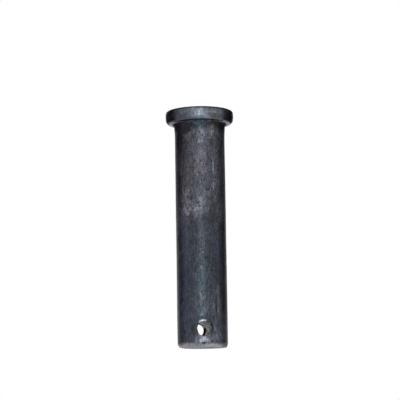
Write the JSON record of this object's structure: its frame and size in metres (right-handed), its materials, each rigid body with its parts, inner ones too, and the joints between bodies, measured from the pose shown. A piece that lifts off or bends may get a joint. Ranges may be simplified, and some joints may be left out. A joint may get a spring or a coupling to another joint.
{
  "type": "clevis pin",
  "caption": "Dark steel clevis pin with a flat round head, a plain round shank and a cross hole for a cotter near the chamfered end.",
  "frame": {"origin": "centre of the plain end's face, on which the pin stands", "axes": "+Z along the shank from the plain end to the head, Y along the cross hole"},
  "size_m": [0.0344, 0.0344, 0.12],
  "materials": {
    "scaled_steel": "dark heat-treatment scale, worn and scuffed"
  },
  "bodies": {
    "root": {"clevis_pin": "scaled_steel"}
  },
  "joints": []
}
